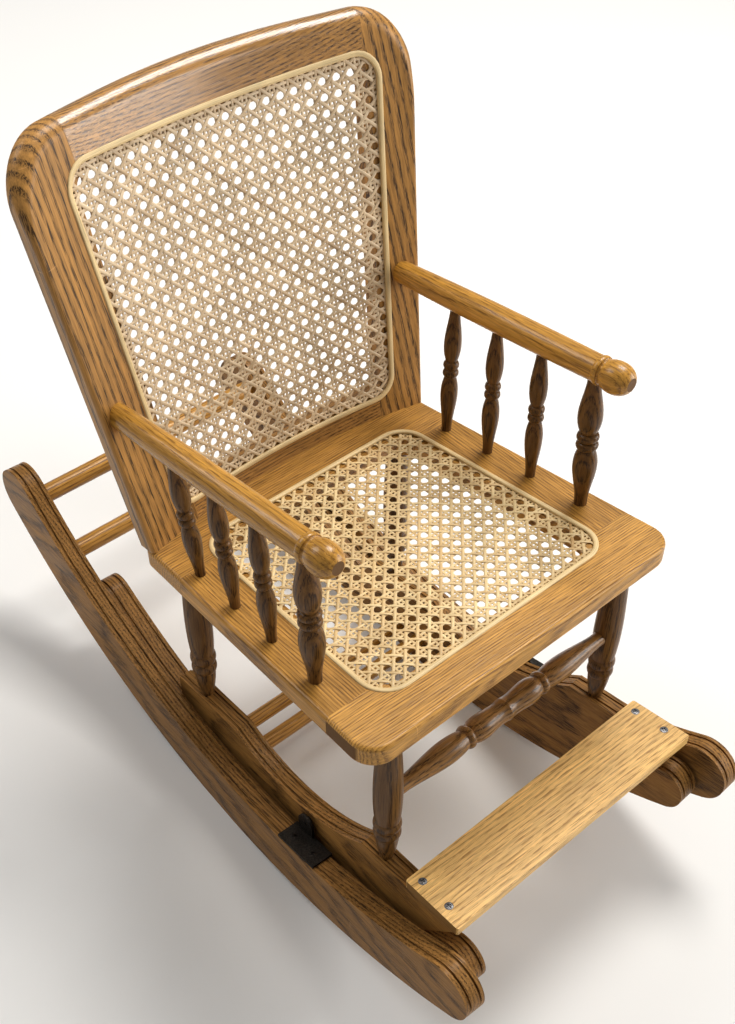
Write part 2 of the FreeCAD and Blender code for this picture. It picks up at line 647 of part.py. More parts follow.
bracketScrews = []
runners = {}
for sideName, side in SIDES:
    outer = rocker(f"{sideName}OuterRail", side, 0, "outer_rocker_thick", "outer_rocker_depth",
                   dim("outer_front_angle"), dim("outer_back_angle"))
    inner = rocker(f"{sideName}InnerRail", side, innerOuter, "inner_rocker_thick", "inner_rocker_depth",
                   dim("inner_front_angle"), dim("inner_back_angle"))
    node(cut(f"{sideName}InnerRocker", inner, [floorSpace] + innerRungs), f"{sideName}_inner_rocker")

    # runner: a shaped board standing on the inner rocker under the legs and the footrest
    near = sideStart(side, runnerOuter, runnerInner)
    top = dim("rocker_radius") - dim("inner_rocker_depth")

    def onTop(y):
        reach = y - dim("rocker_centre")
        return flat(y + sideShift, arcZ - math.sqrt(top ** 2 - reach ** 2))

    def spot(y, z):
        return flat(dim(y) + sideShift, dim(z))

    heelEnd = flat(dim("runner_back") + sideShift, dim("runner_heel_height"))
    heel = spot("runner_heel", "runner_heel_height")
    dip = spot("runner_dip", "runner_dip_height")
    cusp = spot("runner_cusp", "runner_cusp_height")
    toe = spot("runner_toe", "runner_toe_height")
    toeEnd, backEnd = onTop(dim("runner_toe") + dim("runner_toe_slant")), onTop(dim("runner_back"))
    halfway = onTop((dim("runner_toe") + dim("runner_back")) / 2)
    runnerCurves = [
        Part.Arc(toeEnd, halfway, backEnd), Part.LineSegment(backEnd, heelEnd), Part.LineSegment(heelEnd, heel),
        Part.Arc(heel, dip, cusp), Part.LineSegment(cusp, toe), Part.LineSegment(toe, toeEnd)]
    runnerBody = newBody(f"{sideName}RunnerBoard")
    runnerSketch = sketchOn(runnerBody, "YZ_Plane", f"{sideName}RunnerOutline", runnerCurves, near)
    padOf(runnerBody, runnerSketch, "inner_rocker_thick - runner_inset")
    drop, clear = flat(0, dim("rocker_groove_deep")), dim("rocker_groove_outside")
    above = max(heel.y, cusp.y, toe.y) + clear
    around = [toe - drop, flat(toe.x - clear, toe.y - drop.y), flat(toe.x - clear, above),
              flat(heelEnd.x + clear, above), flat(heelEnd.x + clear, heelEnd.y - drop.y), heelEnd - drop]
    topRim = [
        Part.LineSegment(heelEnd - drop, heel - drop), Part.Arc(heel - drop, dip - drop, cusp - drop),
        Part.LineSegment(cusp - drop, toe - drop)]
    topRim += [Part.LineSegment(a, b) for a, b in zip(around, around[1:])]
    edgeGrooves(runnerBody, f"{sideName}Runner", topRim, near, runnerInner - runnerOuter)
    place(runnerBody, sidePlacement(side))

    # pivot pin, fast in the runner and running in the bracket's ear
    pinY, pinZ = dim("pivot_place"), dim("pivot_height")
    earOuter = outerInner + dim("ear_gap")
    pinIn = sidePoint(runnerOuter + dim("pin_seat"), pinY, pinZ, side)
    pinOut = Vector(side * (sideX(earOuter, pinY) + dim("pin_proud")), pinY, pinZ)
    pin = cylinder(f"{sideName}_pivot_pin", pinIn, pinOut, "pin_radius")
    node(pin, f"{sideName}_pivot_pin")
    sideLegHoles = []
    runnerLevel = {}
    slope = (dim("runner_cusp_height") - dim("runner_toe_height")) / (dim("runner_cusp") - dim("runner_toe"))
    for tag, y in (("front", dim("front_leg_place")), ("rear", dim("rear_leg_place"))):
        level = dim("runner_heel_height")
        if tag == "front":
            level = dim("runner_cusp_height") + slope * (y - dim("runner_cusp"))
        runnerLevel[tag] = level
        foot = legPlace(side, y) + Vector(0, 0, level)
        tenon = Vector(0, 0, dim("leg_tenon"))
        sideLegHoles.append(cylinder(f"{sideName}{tag}LegSocket", foot - tenon, foot + tenon, "leg_end"))
    runners[sideName] = cut(f"{sideName}Runner", runnerBody, [pin] + sideLegHoles)

    # bracket: a plate screwed along the top of the outer rocker with an ear turned up beside the runner
    outerTop = dim("rocker_radius") - dim("outer_rocker_depth")
    plateTop = outerTop - dim("bracket_thick")
    plateMid = dim("bracket_middle")
    plateFront, plateBack = plateMid - dim("bracket_angle"), plateMid + dim("bracket_angle")
    plateCurves = [
        Part.Arc(onArc(outerTop, plateFront), onArc(outerTop, plateMid), onArc(outerTop, plateBack)),
        Part.LineSegment(onArc(outerTop, plateBack), onArc(plateTop, plateBack)),
        Part.Arc(onArc(plateTop, plateBack), onArc(plateTop, plateMid), onArc(plateTop, plateFront)),
        Part.LineSegment(onArc(plateTop, plateFront), onArc(outerTop, plateFront))]
    earFar = earOuter + dim("ear_thick")
    plateBody = newBody(f"{sideName}BracketPlate")
    plateStart = sideStart(side, dim("ear_gap"), earFar)
    plateSketch = sketchOn(plateBody, "YZ_Plane", f"{sideName}PlateOutline", plateCurves, plateStart)
    padOf(plateBody, plateSketch, "outer_rocker_thick + ear_thick")
    place(plateBody, sidePlacement(side))
    earBody = newBody(f"{sideName}BracketEar")
    pinFlat = flat(pinY + sideShift, pinZ)
    earR = dim("ear_radius")
    footLevel = onArc(outerTop - dim("bracket_thick") / 2, plateMid).y
    earCurves = [
        Part.Arc(pinFlat + flat(earR, 0), pinFlat + flat(0, earR), pinFlat + flat(-earR, 0)),
        Part.LineSegment(pinFlat + flat(-earR, 0), flat(pinFlat.x - earR, footLevel)),
        Part.LineSegment(flat(pinFlat.x - earR, footLevel), flat(pinFlat.x + earR, footLevel)),
        Part.LineSegment(flat(pinFlat.x + earR, footLevel), pinFlat + flat(earR, 0))]
    earStart = sideStart(side, earOuter, earFar)
    earSketch = sketchOn(earBody, "YZ_Plane", f"{sideName}EarOutline", earCurves, earStart)
    padOf(earBody, earSketch, "ear_thick")
    place(earBody, sidePlacement(side))
    joined = doc.addObject("Part::Fuse", f"{sideName}BracketJoined")
    joined.Base = plateBody
    joined.Tool = earBody
    runOut = sidePoint(0, pinY, pinZ, side)
    pinRun = cylinder(f"{sideName}PinRun", pinIn, runOut, "pin_radius + pin_clearance")
    screwTools = []
    for i, angle in enumerate((plateMid - dim("bracket_screw_angle"), plateMid + dim("bracket_screw_angle"))):
        up = rungPoint(plateTop, angle, outerInner / 2, side)
        deep = rungPoint(plateTop + dim("bracket_screw_length"), angle, outerInner / 2, side)
        screw = cylinder(f"{sideName}BracketScrew{i}", up, deep, "bracket_screw_radius")
        screwTools.append(screw)
    bracketScrews += screwTools
    node(cut(f"{sideName}Bracket", joined, [pinRun] + screwTools), f"{sideName}_pivot_bracket")
    outerCuts = [floorSpace] + outerRungs + screwTools
    node(cut(f"{sideName}OuterRocker", outer, outerCuts), f"{sideName}_outer_rocker")

    # legs: turned, plain at the top, with rings above the foot
    legTop = -dim("seat_depth")
    for tag, y in (("front", dim("front_leg_place")), ("rear", dim("rear_leg_place"))):
        level = runnerLevel[tag]
        length = legTop - level
        big, end, tenon = dim("leg_radius"), dim("leg_end"), dim("leg_tenon")
        legBody = turnedBody(f"{tag}{sideName}LegTurning", [
            [(-tenon, end), (0.016 * length, end)],
            [(0.016 * length, end), (0.1 * length, 0.74 * big), (0.18 * length, 0.84 * big)],
            [(0.18 * length, 0.84 * big), (0.215 * length, 0.98 * big), (0.25 * length, 0.86 * big)],
            [(0.25 * length, 0.86 * big), (0.285 * length, big), (0.32 * length, 0.88 * big)],
            [(0.32 * length, 0.88 * big), (0.45 * length, big), (0.62 * length, big),
             (0.92 * length, 0.8 * big)],
            [(0.92 * length, 0.8 * big), (0.98 * length, end)],
            [(0.98 * length, end), (length + tenon, end)],
        ])
        foot = legPlace(side, y) + Vector(0, 0, level)
        place(legBody, along(foot, foot + Vector(0, 0, length)))
        if tag == "front":
            depth = big - dim("stretcher_tenon")
            seatIn = legPlace(side, y) + Vector(-side * depth, 0, dim("stretcher_height"))
            inward = Vector(-side * 2 * big, 0, 0)
            socket = cylinder(f"{sideName}StretcherSocket", seatIn, seatIn + inward, "stretcher_end")
            legBody = cut(f"{sideName}FrontLeg", legBody, [socket])
        node(legBody, f"{tag}_{sideName}_leg")

# Stretcher between the front legs: thick in the middle between two pairs of rings
reach = legPlace(1, dim("front_leg_place")).x - (dim("leg_radius") - dim("stretcher_tenon"))
stretcherEnds = [Vector(side * reach, dim("front_leg_place"), dim("stretcher_height")) for name, side in SIDES]
span = 2 * reach
big, end = dim("stretcher_radius"), dim("stretcher_end")
halfTurning = [
    [(0, end), (0.05 * span, end)],
    [(0.05 * span, end), (0.12 * span, 1.28 * end), (0.22 * span, big), (0.31 * span, 0.8 * big)],
    [(0.31 * span, 0.8 * big), (0.325 * span, big), (0.34 * span, 0.8 * big)],
    [(0.34 * span, 0.8 * big), (0.36 * span, 0.98 * big), (0.42 * span, big), (0.5 * span, big)],
]
mirrored = [[(span - z, r) for z, r in reversed(stretch)] for stretch in reversed(halfTurning)]
stretcher = turnedBody("front_stretcher", halfTurning + mirrored)
node(place(stretcher, along(*stretcherEnds)), "front_stretcher")

# Footrest: a thin board screwed down on the runners
stepSlope = math.degrees(math.atan(slope))
stepLevel = dim("runner_cusp_height") - slope * dim("runner_cusp")
stepLocal = Placement(Vector(0, 0, stepLevel), Rotation(Vector(1, 0, 0), stepSlope))
stepBody = newBody("FootrestBoard")
stretch = 1 / math.cos(math.radians(stepSlope))
frontEnd = sideX(runnerOuter, dim("step_front")) + dim("step_overhang")
backEnd = sideX(runnerOuter, dim("step_back")) + dim("step_overhang")
stepFront, stepBack = dim("step_front") * stretch, dim("step_back") * stretch
stepPts = [flat(-frontEnd, stepFront), flat(frontEnd, stepFront),
           flat(backEnd, stepBack), flat(-backEnd, stepBack)]
stepSketch = sketchOn(stepBody, "XY_Plane", "FootrestOutline", softCorners(stepPts, [dim("step_corner")] * 4))
padOf(stepBody, stepSketch, "step_thick")
place(stepBody, stepLocal)


def countersunk(name, local):
    # plain countersunk screw, head down flush with the board
    length, shank = dim("screw_length"), dim("screw_radius")
    head, depth = dim("screw_head_radius"), dim("screw_head_depth")
    rim = dim("screw_rim")
    body = turnedBody(name, [
        [(-length, shank), (-depth, shank)],
        [(-depth, shank), (-rim, head)],
        [(-rim, head), (0, head)],
    ])
    return place(body, local)


stepScrews = []
for sideName, side in SIDES:
    for tag in ("back", "front"):
        y = dim(f"step_screw_{tag}")
        top = Vector(legPlace(side, y).x, y * stretch, dim("step_thick"))
        screwTop = stepLocal.multiply(Placement(top, Rotation()))
        stepScrews.append(countersunk(f"{sideName}{tag}FootrestScrew", screwTop))
node(cut("Footrest", stepBody, stepScrews), "footrest_board")
for sideName, runner in runners.items():
    node(cut(f"{sideName}RunnerDrilled", runner, stepScrews + [stepBody]), f"{sideName}_runner")


def gathered(label, parts):
    group = doc.addObject("Part::Compound", label)
    group.Links = parts
    return node(group, label)


gathered("footrest_screws", stepScrews)
gathered("bracket_screws", bracketScrews)

# Check, report and write each node
doc.recompute()
faults = [o.Label for o in doc.Objects if "Invalid" in o.State or "Error" in o.State]
if faults:
    raise RuntimeError("objects with errors: " + ", ".join(faults))
os.makedirs("parts", exist_ok=True)
massCentre, volume = Vector(), 0.0
box = FreeCAD.BoundBox()
for item in nodes:
    shape = item.Shape
    if shape.isNull() or not shape.isValid() or not shape.Solids:
        raise RuntimeError("bad shape: " + item.Label)
    for solid in shape.Solids:
        massCentre += solid.CenterOfMass * solid.Volume
        volume += solid.Volume
    box.add(shape.optimalBoundingBox(False))
    shape.exportStep(f"parts/{item.Label}.step")
massCentre = massCentre / volume
print(len(nodes), "nodes; volume", round(volume / 1000), "cm3; centre", [round(v, 1) for v in massCentre])
print("box", [round(v, 2) for v in (box.XMin, box.XMax, box.YMin, box.YMax, box.ZMin, box.ZMax)])
touch = chair.multVec(arcCentre)
print("floor contact at y", round(touch.y, 1), "middle of box at y", round((box.YMin + box.YMax) / 2, 2))
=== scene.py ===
import math
import random
import bpy
import bmesh
from mathutils import Euler, Matrix, Vector


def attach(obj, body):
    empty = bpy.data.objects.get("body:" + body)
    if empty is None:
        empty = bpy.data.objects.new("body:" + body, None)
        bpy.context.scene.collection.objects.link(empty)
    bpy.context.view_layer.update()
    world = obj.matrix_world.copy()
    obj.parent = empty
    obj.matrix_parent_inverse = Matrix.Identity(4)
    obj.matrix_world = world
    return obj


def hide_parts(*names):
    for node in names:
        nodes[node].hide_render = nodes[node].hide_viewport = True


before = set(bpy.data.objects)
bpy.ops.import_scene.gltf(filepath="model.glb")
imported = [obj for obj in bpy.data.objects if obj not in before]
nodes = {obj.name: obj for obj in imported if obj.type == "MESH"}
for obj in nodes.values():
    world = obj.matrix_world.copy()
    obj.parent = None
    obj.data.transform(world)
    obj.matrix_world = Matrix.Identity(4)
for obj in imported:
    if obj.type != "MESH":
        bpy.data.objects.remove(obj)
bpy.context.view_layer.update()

scene = bpy.context.scene
scene.view_settings.view_transform = "Standard"
print("frame loaded:", len(nodes), "nodes")

# the chair leans back on its rockers; the seat's own frame has z = 0 on its top face
stance = {"lean": 8.9, "back": -0.15133, "up": 0.304675}
backSet = {"foot": 0.254, "recline": 11.5, "bow": 0.616}


def leaning(degrees):
    return Matrix.Rotation(math.radians(-degrees), 4, "X")


seatFrame = Matrix.Translation((0, stance["back"], stance["up"])) @ leaning(stance["lean"])
backFrame = seatFrame @ Matrix.Translation((0, backSet["foot"], 0)) @ leaning(backSet["recline"])


def seatPoint(u, v, lift):
    return seatFrame @ Vector((u, v, lift))


def backPoint(u, v, lift):
    deep = math.sqrt(backSet["bow"] ** 2 - u * u) - backSet["bow"]
    return backFrame @ Vector((u, deep - lift, v))


# small helpers for materials
def newMaterial(name):
    mat = bpy.data.materials.new(name)
    mat.use_nodes = True
    tree = mat.node_tree
    tree.nodes.clear()
    out = tree.nodes.new("ShaderNodeOutputMaterial")
    shader = tree.nodes.new("ShaderNodeBsdfPrincipled")
    tree.links.new(shader.outputs[0], out.inputs[0])
    return mat, tree, shader


def addNode(tree, kind, **settings):
    node = tree.nodes.new(kind)
    for key, value in settings.items():
        if key in node.inputs:
            node.inputs[key].default_value = value
        else:
            setattr(node, key, value)
    return node


# a socket is linked, a number or a colour is set
def feed(tree, socket, value):
    if isinstance(value, bpy.types.NodeSocket):
        tree.links.new(value, socket)
    else:
        socket.default_value = (*value, 1) if isinstance(value, tuple) else value


def grey(level):
    return (level, level, level)


# grey levels along a value, as stops of place and level
def ramp(tree, source, stops):
    node = tree.nodes.new("ShaderNodeValToRGB")
    tree.links.new(source, node.inputs[0])
    while len(node.color_ramp.elements) < len(stops):
        node.color_ramp.elements.new(0.5)
    for element, (place, level) in zip(node.color_ramp.elements, stops):
        element.position = place
        element.color = (*grey(level), 1)
    return node.outputs[0]


mixSocket = {"share": 0, "first": 6, "second": 7, "result": 2}  # a mix node's colour sockets


def mixColour(tree, kind, share, first, second):
    node = addNode(tree, "ShaderNodeMix", data_type="RGBA", blend_type=kind)
    feed(tree, node.inputs[mixSocket["share"]], share)
    feed(tree, node.inputs[mixSocket["first"]], first)
    feed(tree, node.inputs[mixSocket["second"]], second)
    return node.outputs[mixSocket["result"]]


def product(tree, first, second):
    node = addNode(tree, "ShaderNodeMath", operation="MULTIPLY")
    feed(tree, node.inputs[0], first)
    feed(tree, node.inputs[1], second)
    return node.outputs[0]


def addBump(tree, shader, height, strength, depth, sunk=False):
    bump = addNode(tree, "ShaderNodeBump", Strength=strength, Distance=depth)
    bump.invert = sunk
    tree.links.new(height, bump.inputs["Height"])
    tree.links.new(bump.outputs[0], shader.inputs["Normal"])


# oak: dark yearly lines along the grain, open pores, soft patches, scratches and a worn varnish
plainOak = {"gloss": 0.38, "sheen": 0.08, "shine": 0.25, "tilt": (0, 0, 0), "wander": 0.010,
            "line": 0.4, "dash": 42, "fleck": 0.26, "pore": 0.8, "sawnEnds": False}
oakGrain = {
    # noise: cells in a metre along and across the grain, then detail
    "drift": (5, 22, 2.0), "patches": (5, 30, 3.0), "threads": (20, 520, 3.0), "scratches": (520, 18, 2.0),
    "poreAcross": 1250, "poreDetail": 2.0, "noiseRoughness": 0.6,
    # yearly rings, almost straight along the board
    "ringRun": (0.1, 1.0), "waveScale": 0.314, "distortion": 2.2, "waveDetail": 4.0, "detailScale": 1.6,
    # early wood is a band of open pores, late wood is plain
    "lineStops": [(0.0, 0.6), (0.12, 0.05), (0.5, 0.0), (0.78, 0.5), (0.95, 1.0)],
    "poreStops": [(0.44, 1.0), (0.54, 0.0)], "poreShare": [(0.45, 0.8), (1.0, 1.0)],
    "patchStops": [(0.3, 0.78), (0.7, 1.14)], "threadStops": [(0.36, 0.78), (0.64, 1.12)],
    "scratchStops": [(0.74, 0.0), (0.77, 0.45)], "scratchGain": 1.5, "scratchLift": 0.08,
    "glossPlaces": (0.3, 0.7), "glossSpread": (-0.06, 0.1), "coatRoughness": 0.14,
    # end faces are painted darker and duller: end grain soaks up more stain, and on the footrest board's end
    # this darkening is also painted shade
    "endStops": [(0.955, 0.0), (0.985, 1.0)], "endShade": 0.55, "endRoughness": 0.75,
    "poreRelief": 0.2, "poreDepth": 0.0005,
}


def oak(name, board):
    wood = {**plainOak, **board}
    mat, tree, shader = newMaterial(name)
    light, dark = wood["tone"]["light"], wood["tone"]["dark"]
    axis = "XYZ".index(wood["grain"])
    coords = addNode(tree, "ShaderNodeTexCoord")
    turned = addNode(tree, "ShaderNodeMapping", vector_type="POINT")
    tilt = (stance["lean"] + wood["tilt"][0], wood["tilt"][1], wood["tilt"][2])
    turned.inputs["Location"].default_value = wood["shift"]
    turned.inputs["Rotation"].default_value = [math.radians(a) for a in tilt]
    tree.links.new(coords.outputs["Object"], turned.inputs["Vector"])

    def stretched(along, across):
        scale = [across] * 3
        scale[axis] = along
        node = addNode(tree, "ShaderNodeMapping", vector_type="POINT")
        node.inputs["Scale"].default_value = scale
        tree.links.new(turned.outputs[0], node.inputs["Vector"])
        return node.outputs[0]

    def noise(along, across, detail):
        node = addNode(tree, "ShaderNodeTexNoise", Scale=1.0, Detail=detail,
                       Roughness=oakGrain["noiseRoughness"])
        tree.links.new(stretched(along, across), node.inputs["Vector"])
        return node

    drift = noise(*oakGrain["drift"])
    sway = addNode(tree, "ShaderNodeVectorMath", operation="MULTIPLY_ADD")
    sway.inputs[1].default_value = (wood["wander"],) * 3
    tree.links.new(drift.outputs["Color"], sway.inputs[0])
    tree.links.new(stretched(*oakGrain["ringRun"]), sway.inputs[2])
    rings = addNode(tree, "ShaderNodeTexWave", wave_type="RINGS", rings_direction=wood["grain"],
                    wave_profile="SAW", Scale=oakGrain["waveScale"] / wood["ring"],
                    Distortion=oakGrain["distortion"], Detail=oakGrain["waveDetail"])
    rings.inputs["Detail Scale"].default_value = oakGrain["detailScale"]
    tree.links.new(sway.outputs[0], rings.inputs["Vector"])
    line = ramp(tree, rings.outputs["Fac"], oakGrain["lineStops"])

    pores = noise(wood["dash"], oakGrain["poreAcross"], oakGrain["poreDetail"])
    poreTone = ramp(tree, pores.outputs["Fac"], oakGrain["poreStops"])
    poreShare = ramp(tree, line, [(0.0, wood["fleck"])] + oakGrain["poreShare"])
    poreAmount = product(tree, poreTone, poreShare)
    broad = noise(*oakGrain["patches"]).outputs["Fac"]
    patch = ramp(tree, broad, oakGrain["patchStops"])
    thread = ramp(tree, noise(*oakGrain["threads"]).outputs["Fac"], oakGrain["threadStops"])
    scratch = ramp(tree, noise(*oakGrain["scratches"]).outputs["Fac"], oakGrain["scratchStops"])
    bare = tuple(min(1.0, oakGrain["scratchGain"] * c + oakGrain["scratchLift"]) for c in light)

    body = mixColour(tree, "MIX", product(tree, line, wood["line"]), light, dark)
    body = mixColour(tree, "MULTIPLY", 1.0, body, patch)
    body = mixColour(tree, "MULTIPLY", 1.0, body, thread)
    body = mixColour(tree, "MIX", poreAmount, body, tuple(wood["pore"] * c for c in dark))
    body = mixColour(tree, "MIX", scratch, body, bare)
    glossLevels = [wood["gloss"] + change for change in oakGrain["glossSpread"]]
    roughness = ramp(tree, broad, list(zip(oakGrain["glossPlaces"], glossLevels)))
    # end faces darkened by their facing: darker stained end grain, partly painted shade on the footrest
    # board's shaded end
    if wood["sawnEnds"]:
        surface = addNode(tree, "ShaderNodeNewGeometry")
        facing = addNode(tree, "ShaderNodeVectorMath", operation="DOT_PRODUCT")
        alongBoard = Vector([float(k == axis) for k in range(3)])
        facing.inputs[1].default_value = seatFrame.to_3x3() @ alongBoard
        tree.links.new(surface.outputs["Normal"], facing.inputs[0])
        turnedAway = addNode(tree, "ShaderNodeMath", operation="ABSOLUTE")
        tree.links.new(facing.outputs["Value"], turnedAway.inputs[0])
        endShare = ramp(tree, turnedAway.outputs[0], oakGrain["endStops"])
        body = mixColour(tree, "MIX", endShare, body, tuple(oakGrain["endShade"] * c for c in dark))
        roughness = mixColour(tree, "MIX", endShare, roughness, grey(oakGrain["endRoughness"]))
    tree.links.new(body, shader.inputs["Base Color"])
    tree.links.new(roughness, shader.inputs["Roughness"])
    shader.inputs["Specular IOR Level"].default_value = wood["shine"]
    shader.inputs["Coat Weight"].default_value = wood["sheen"]
    shader.inputs["Coat Roughness"].default_value = oakGrain["coatRoughness"]
    addBump(tree, shader, poreAmount, oakGrain["poreRelief"], oakGrain["poreDepth"], sunk=True)
    return mat


# straw for the cane and its spline: fine fibres, tone from strand to strand
strawLook = {"fibreDetail": 4.0, "fibreStops": [(0.32, 0.66), (0.62, 1.06)],
             "stain": 26.0, "stainDetail": 3.0, "stainStops": [(0.3, 0.8), (0.62, 1.05)],
             "roughStops": [(0.3, 0.52), (0.7, 0.4)], "relief": 0.25, "depth": 0.0003}


def straw(name, light, dark, fibre):
    mat, tree, shader = newMaterial(name)
    coords = addNode(tree, "ShaderNodeTexCoord")
    tone = addNode(tree, "ShaderNodeAttribute", attribute_name="strandTone")
    along = addNode(tree, "ShaderNodeAttribute", attribute_name="strandRun")
    fibres = addNode(tree, "ShaderNodeTexNoise", Scale=fibre, Detail=strawLook["fibreDetail"])
    tree.links.new(along.outputs["Vector"], fibres.inputs["Vector"])
    stain = addNode(tree, "ShaderNodeTexNoise", Scale=strawLook["stain"], Detail=strawLook["stainDetail"])
    tree.links.new(coords.outputs["Object"], stain.inputs["Vector"])
    fibreTone = ramp(tree, fibres.outputs["Fac"], strawLook["fibreStops"])
    stainTone = ramp(tree, stain.outputs["Fac"], strawLook["stainStops"])
    body = mixColour(tree, "MIX", tone.outputs["Fac"], light, dark)
    body = mixColour(tree, "MULTIPLY", 1.0, body, fibreTone)
    body = mixColour(tree, "MULTIPLY", 1.0, body, stainTone)
    roughness = ramp(tree, fibres.outputs["Fac"], strawLook["roughStops"])
    tree.links.new(body, shader.inputs["Base Color"])
    tree.links.new(roughness, shader.inputs["Roughness"])
    addBump(tree, shader, fibres.outputs["Fac"], strawLook["relief"], strawLook["depth"])
    return mat


# iron and screw steel: pitted, with dull rubbed spots
metalLook = {"detail": 5.0, "rubStops": [(0.35, 0), (0.68, 1)], "dullPlaces": (0.3, 0.7), "dull": 0.2,
             "metallic": 0.85, "relief": 0.35, "depth": 0.0005}


def metal(name, light, dark, shine, grit):
    mat, tree, shader = newMaterial(name)
    coords = addNode(tree, "ShaderNodeTexCoord")
    pits = addNode(tree, "ShaderNodeTexNoise", Scale=grit, Detail=metalLook["detail"])
    tree.links.new(coords.outputs["Object"], pits.inputs["Vector"])
    rubbed = ramp(tree, pits.outputs["Fac"], metalLook["rubStops"])
    dullLevels = (shine + metalLook["dull"], shine)
    roughness = ramp(tree, pits.outputs["Fac"], list(zip(metalLook["dullPlaces"], dullLevels)))
    tree.links.new(mixColour(tree, "MIX", rubbed, dark, light), shader.inputs["Base Color"])
    tree.links.new(roughness, shader.inputs["Roughness"])
    shader.inputs["Metallic"].default_value = metalLook["metallic"]
    addBump(tree, shader, pits.outputs["Fac"], metalLook["relief"], metalLook["depth"])
    return mat


golden = {"light": (0.640, 0.325, 0.066), "dark": (0.230, 0.098, 0.017)}
tawny = {"light": (0.540, 0.265, 0.050), "dark": (0.180, 0.075, 0.013)}
amber = {"light": (0.580, 0.285, 0.044), "dark": (0.260, 0.110, 0.014)}
honey = {"light": (0.900, 0.555, 0.190), "dark": (0.420, 0.210, 0.055)}
brown = {"light": (0.500, 0.245, 0.060), "dark": (0.080, 0.037, 0.012)}
russet = {"light": (0.330, 0.160, 0.042), "dark": (0.055, 0.025, 0.008)}
umber = {"light": (0.170, 0.078, 0.020), "dark": (0.035, 0.015, 0.005)}

# which boards share a log: nodes, grain direction, tone, place in the log and width of a year
turnings = [n for n in nodes if "spindle" in n or "post" in n]
legs = [n for n in nodes if n.endswith("_leg")]
rungs = [n for n in nodes if "rung" in n]
turnedWood = {"grain": "Z", "tone": umber, "gloss": 0.3, "sheen": 0.12, "shine": 0.16}
rockerWood = {"grain": "Y", "tone": russet, "gloss": 0.42, "sheen": 0.04, "shine": 0.12}
woodwork = {
    "crestOak": {"nodes": ["back_crest_rail"], "grain": "X", "tone": brown, "shift": (0.3, 0.22, -0.3),
                 "ring": 0.0024, "tilt": (0, 3, 0), "gloss": 0.24, "sheen": 0.4, "shine": 0.45},
    "stileOak": {"nodes": ["back_left_stile", "back_right_stile"], "grain": "Z", "tone": brown,
                 "shift": (0.36, 0.2, 0.4), "ring": 0.0064, "tilt": (9, 5, 0), "line": 0.5, "fleck": 0.12,
                 "dash": 60, "pore": 0.5},
    "footRailOak": {"nodes": ["back_bottom_rail"], "grain": "X", "tone": brown, "shift": (0.2, 0.25, 0.26),
                    "ring": 0.0028},
    "frontRailOak": {"nodes": ["seat_front_rail"], "grain": "X", "tone": golden, "shift": (0.5, 0.42, -0.3),
                     "ring": 0.0023, "tilt": (0, 0, 2), "line": 0.5, "sawnEnds": True},
    "sideRailOak": {"nodes": ["seat_left_rail", "seat_right_rail"], "grain": "Y", "tone": tawny,
                    "shift": (0.37, 0.2, -0.28), "ring": 0.0029, "tilt": (0, 0, 3), "line": 0.5,
                    "sawnEnds": True},
    "backRailOak": {"nodes": ["seat_back_rail"], "grain": "X", "tone": tawny, "shift": (0.9, -0.42, -0.3),
                    "ring": 0.0026},
    "armOak": {"nodes": ["left_arm", "right_arm"], "grain": "Y", "tone": amber, "shift": (0.31, 0.6, -0.3),
               "ring": 0.0034, "line": 0.3, "gloss": 0.28, "sheen": 0.22, "shine": 0.3, "sawnEnds": True},
    "spindleOak": {"nodes": turnings, "shift": (0.25, 0.33, 0.9), "ring": 0.0030, **turnedWood},
    "legOak": {"nodes": legs, "shift": (0.4, 0.31, 0.2), "ring": 0.0032, **turnedWood},
    "stretcherOak": {"nodes": ["front_stretcher"], "grain": "X", "tone": russet, "shift": (0.15, 0.41, 0.3),
                     "ring": 0.0034, "gloss": 0.28, "sheen": 0.25},
    # the footrest's darkened ends (sawnEnds) also paint the shade that falls on its end faces
    "stepOak": {"nodes": ["footrest_board"], "grain": "X", "tone": honey, "shift": (0.64, 0.46, -0.06),
                "ring": 0.0044, "tilt": (0, 1, 2), "line": 0.22, "fleck": 0.2, "dash": 60, "sawnEnds": True},
    "outerRockerOak": {"nodes": ["left_outer_rocker", "right_outer_rocker"], "shift": (0.62, 0.9, -0.1),
                       "ring": 0.0034, **rockerWood},
    "innerRockerOak": {"nodes": ["left_inner_rocker", "right_inner_rocker"], "shift": (0.55, 0.44, -0.12),
                       "ring": 0.0034, **rockerWood},
    "runnerOak": {"nodes": ["left_runner", "right_runner"], "shift": (0.58, 0.7, -0.08), "ring": 0.0036,
                  **rockerWood},
    "rungOak": {"nodes": rungs, "grain": "X", "tone": tawny, "shift": (0.8, 0.34, 0.31), "ring": 0.0034,
                "gloss": 0.3},
}


def coat(node, mat):
    nodes[node].data.materials.clear()
    nodes[node].data.materials.append(mat)


for name, wood in woodwork.items():
    mat = oak(name, wood)
    for node in wood["nodes"]:
        coat(node, mat)
blackIron = metal("blackIron", (0.030, 0.025, 0.021), (0.012, 0.010, 0.008), shine=0.42, grit=700)
screwSteel = metal("screwSteel", (0.26, 0.26, 0.27), (0.08, 0.08, 0.085), shine=0.34, grit=900)
for node in nodes:
    if "pivot" in node:
        coat(node, blackIron)
print("timber and iron dressed")


# closed meshes from rings of points, with a tone and a fibre direction on each strand
fibreTurns = 12  # fibre cells around a strand


